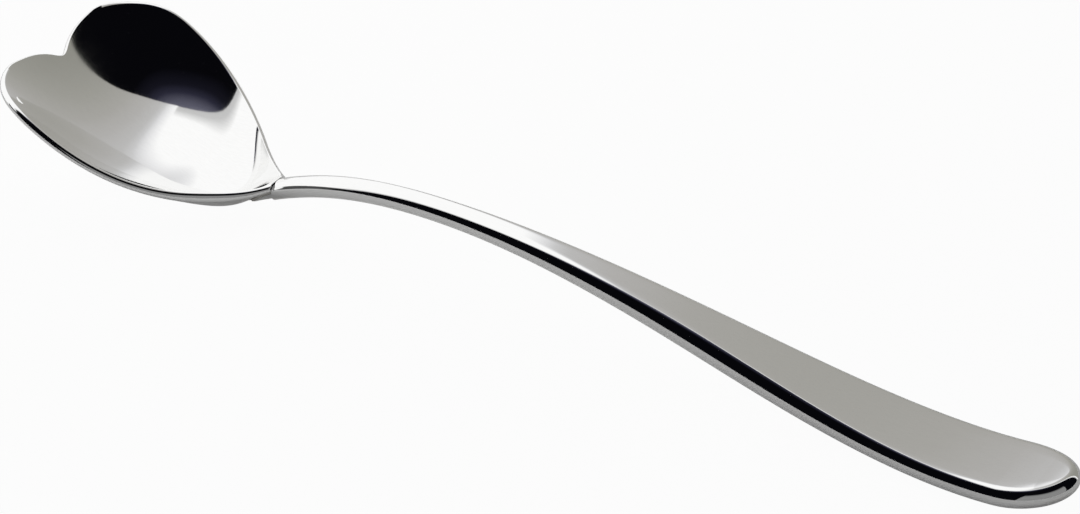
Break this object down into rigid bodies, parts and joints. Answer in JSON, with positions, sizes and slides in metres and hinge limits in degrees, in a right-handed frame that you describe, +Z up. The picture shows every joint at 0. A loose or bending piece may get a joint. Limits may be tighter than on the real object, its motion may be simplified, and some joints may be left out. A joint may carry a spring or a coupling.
{
  "type": "iced tea spoon",
  "caption": "Iced tea spoon with a dished heart-shaped bowl brazed to a long arched handle that broadens to a rounded end, mirror polished.",
  "frame": {"origin": "on the table under the middle of the spoon's box, between the heel of the bowl and the handle's end", "axes": "+X along the spoon from the bowl to the handle's end, +Y to the left seen from the bowl, +Z up from the table"},
  "size_m": [0.176, 0.038, 0.0186],
  "materials": {
    "bowl_steel": "mirror-polished stainless steel",
    "handle_steel": "mirror-polished stainless steel",
    "braze_filler": "satin silver filler metal"
  },
  "bodies": {
    "root": {"bowl": "bowl_steel", "handle": "handle_steel", "braze_seam": "braze_filler"}
  },
  "joints": []
}
